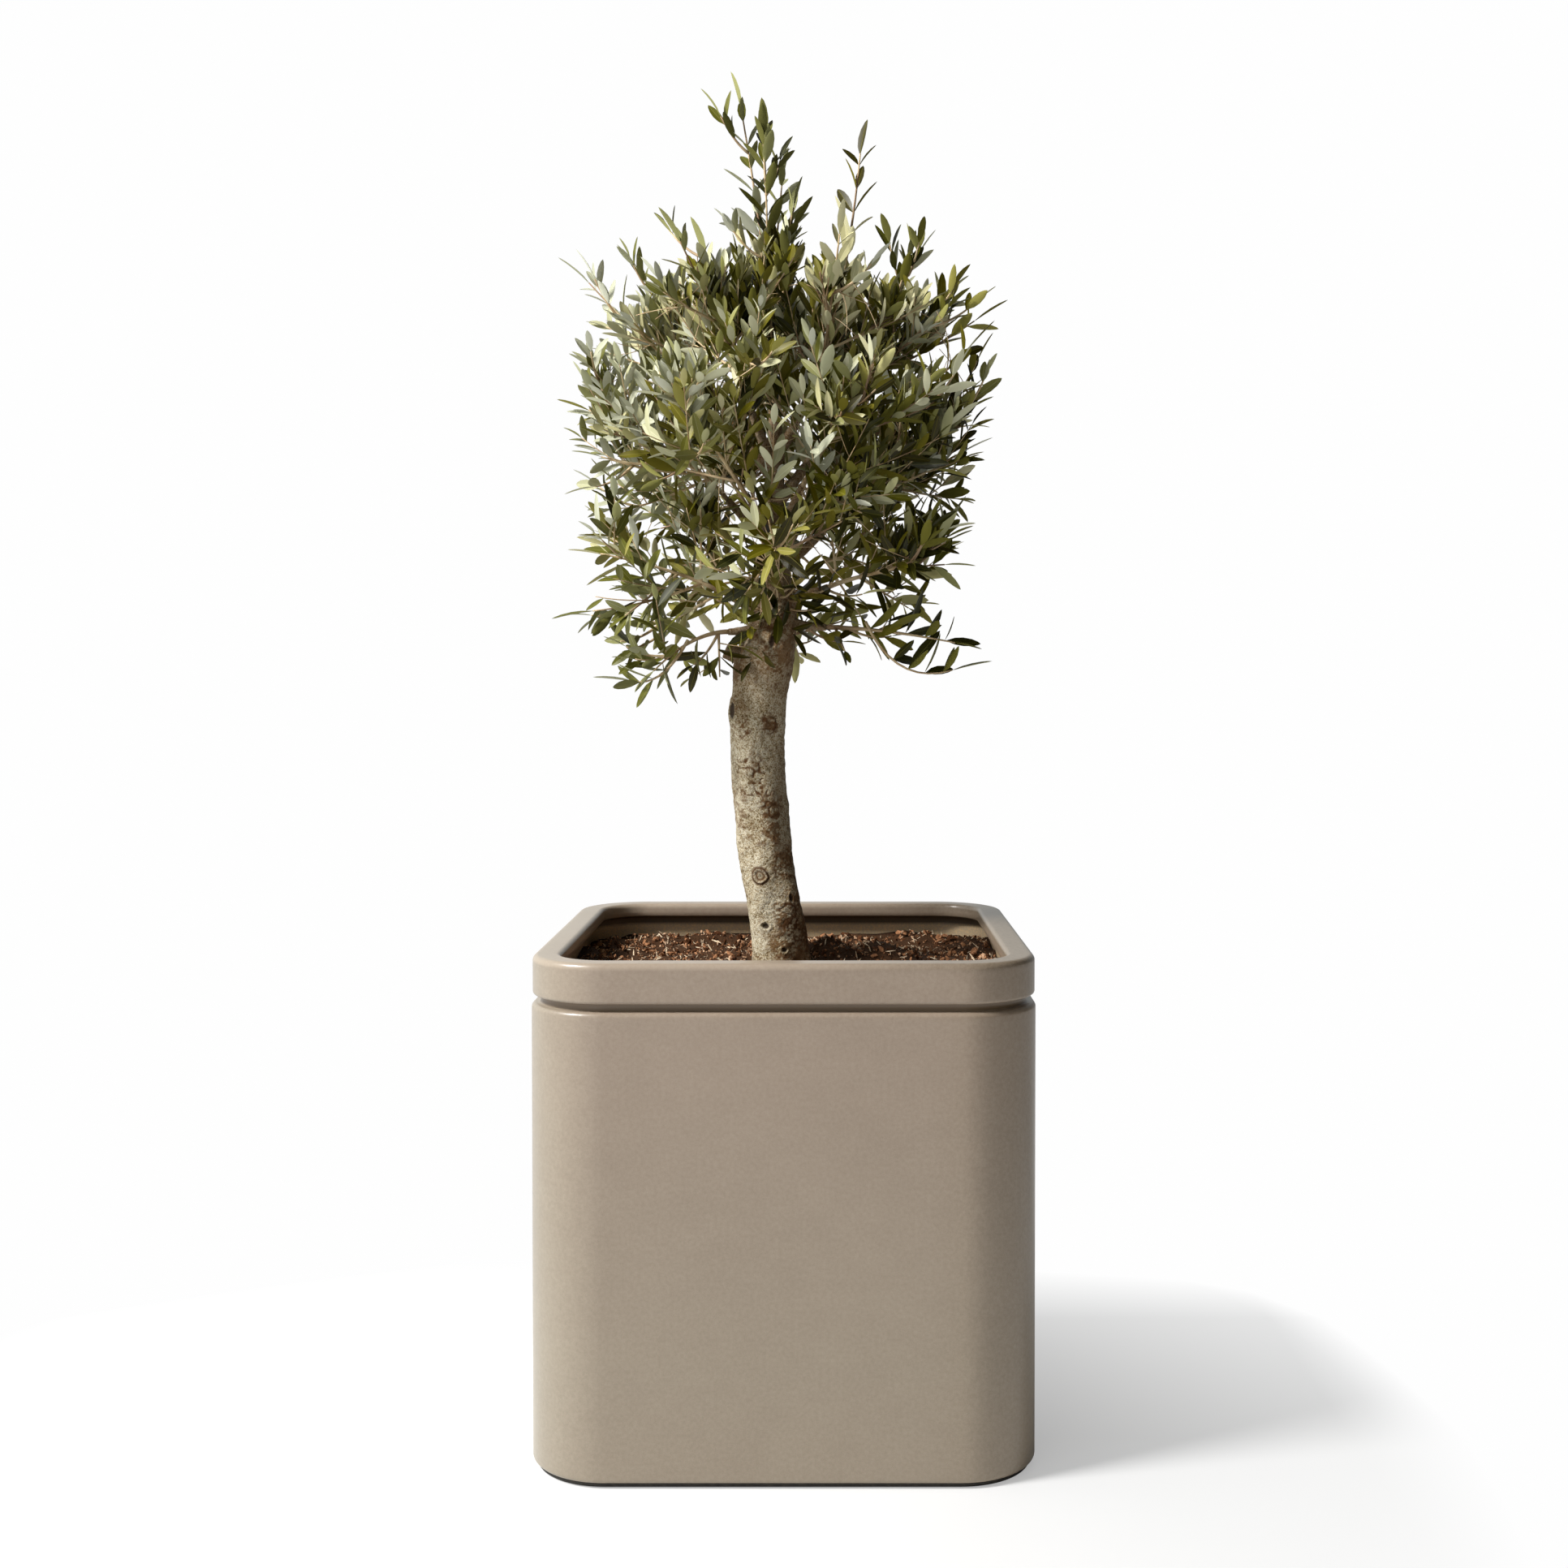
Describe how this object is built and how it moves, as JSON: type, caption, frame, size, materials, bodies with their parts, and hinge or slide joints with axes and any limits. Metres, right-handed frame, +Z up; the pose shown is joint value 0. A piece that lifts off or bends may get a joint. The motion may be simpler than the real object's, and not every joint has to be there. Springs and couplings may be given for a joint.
{
  "type": "potted olive tree",
  "caption": "Small olive tree with one bare, gently curved stem and a rounded crown of narrow leaves, standing in a rounded square planter with a rimmed top.",
  "frame": {"origin": "on the floor, under the middle of the planter", "axes": "+Z up, +X to the right and +Y to the back as seen from the front"},
  "size_m": [0.5, 0.5, 1.417],
  "materials": {
    "planter_finish": "warm grey-beige glaze, satin to glossy",
    "foot": "dark, matte",
    "soil": "dark brown potting mix, rough",
    "bark": "grey-tan bark, rough",
    "foliage": "grey-green leaves, soft sheen"
  },
  "bodies": {
    "root": {"planter": "planter_finish", "planter_foot": "foot", "soil": "soil", "trunk": "bark", "bough_leader": "bark", "foliage_leader": "foliage", "bough_upper_right": "bark", "foliage_upper_right": "foliage", "bough_upper_back": "bark", "foliage_upper_back": "foliage", "bough_upper_left": "bark", "foliage_upper_left": "foliage", "bough_upper_front_left": "bark", "foliage_upper_front_left": "foliage", "bough_upper_front_right": "bark", "foliage_upper_front_right": "foliage", "bough_middle_right": "bark", "foliage_middle_right": "foliage", "bough_middle_back_right": "bark", "foliage_middle_back_right": "foliage", "bough_middle_back_left": "bark", "foliage_middle_back_left": "foliage", "bough_middle_left": "bark", "foliage_middle_left": "foliage", "bough_middle_front_left": "bark", "foliage_middle_front_left": "foliage", "bough_middle_front_right": "bark", "foliage_middle_front_right": "foliage", "bough_low_left": "bark", "foliage_low_left": "foliage", "bough_low_front": "bark", "foliage_low_front": "foliage", "bough_low_right": "bark", "foliage_low_right": "foliage", "bough_low_back_right": "bark", "foliage_low_back_right": "foliage", "bough_low_back_left": "bark", "foliage_low_back_left": "foliage", "bough_spray_left": "bark", "foliage_spray_left": "foliage", "bough_spray_right": "bark", "foliage_spray_right": "foliage", "bough_spray_back": "bark", "foliage_spray_back": "foliage"}
  },
  "joints": []
}
